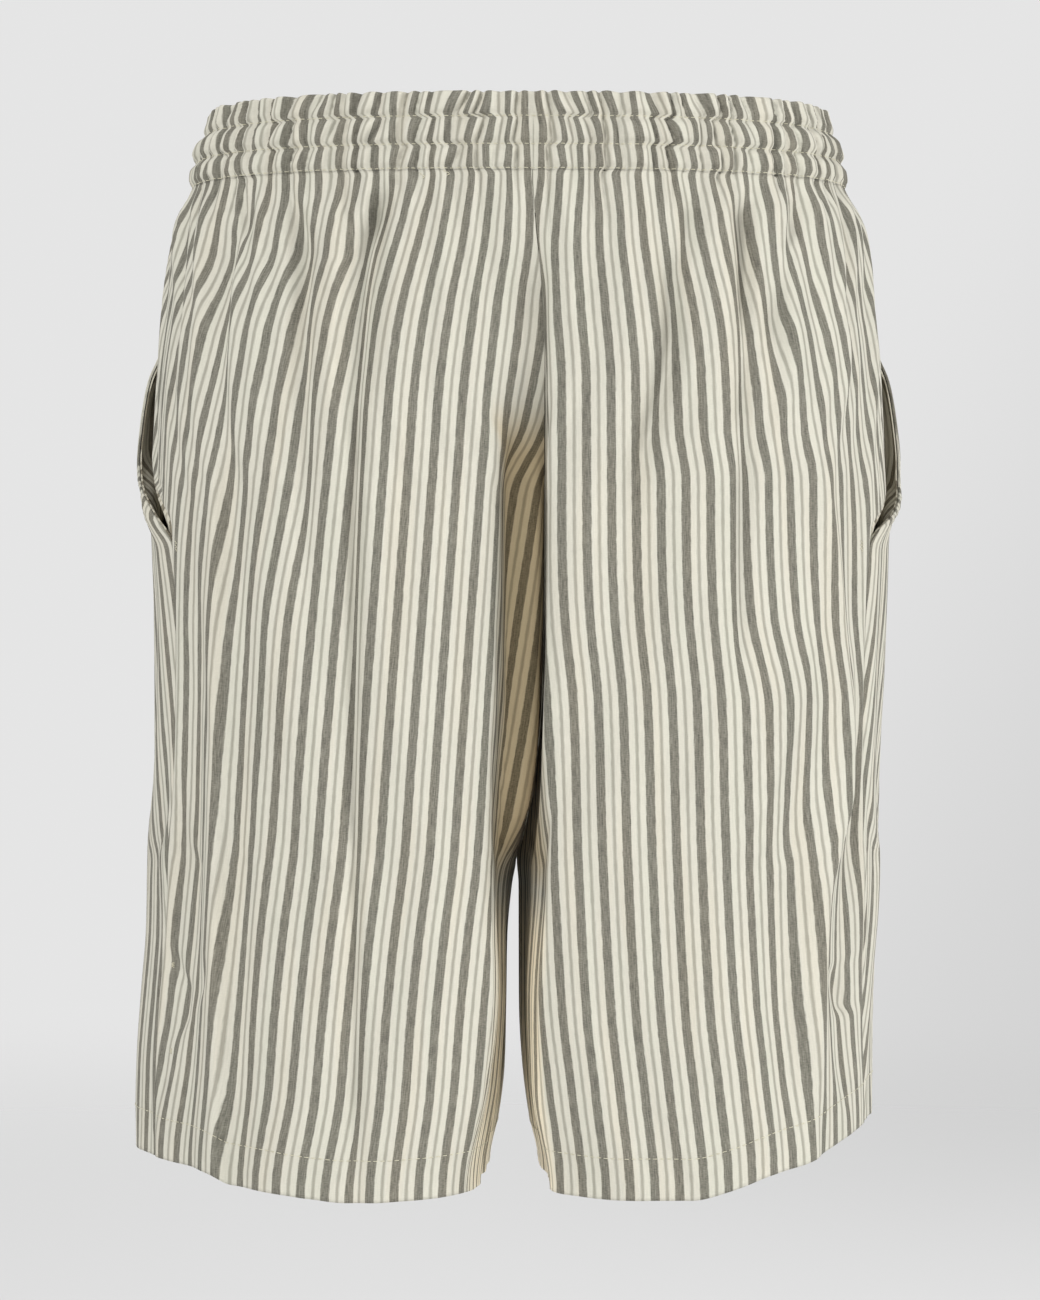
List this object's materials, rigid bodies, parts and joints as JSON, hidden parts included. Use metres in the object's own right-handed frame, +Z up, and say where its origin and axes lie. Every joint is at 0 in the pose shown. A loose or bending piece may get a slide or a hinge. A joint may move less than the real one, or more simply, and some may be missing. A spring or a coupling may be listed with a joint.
{
  "type": "bermuda shorts",
  "caption": "Knee-length bermuda shorts in striped woven cotton, with an elastic waistband, wide legs and side seam pockets, filled out as worn.",
  "frame": {"origin": "middle of the waistband, half way up it, where the wearer's waist holds it", "axes": "+Z up out of the waist, the back of the shorts faces -Y, and the wearer's left leg is on the -X side"},
  "size_m": [0.3663, 0.2275, 0.5025],
  "materials": {
    "striped_cloth": "plain-woven cotton, cream with grey-olive stripes, matt",
    "pocket_cloth": "the same striped cotton, seen in shade",
    "thread": "cream sewing thread, matt"
  },
  "bodies": {
    "root": {"waistband": "striped_cloth", "back_left": "striped_cloth", "back_right": "striped_cloth", "front_left": "striped_cloth", "front_right": "striped_cloth", "pocket_left": "pocket_cloth", "pocket_left_facing": "pocket_cloth", "pocket_right": "pocket_cloth", "pocket_right_facing": "pocket_cloth"}
  },
  "joints": []
}
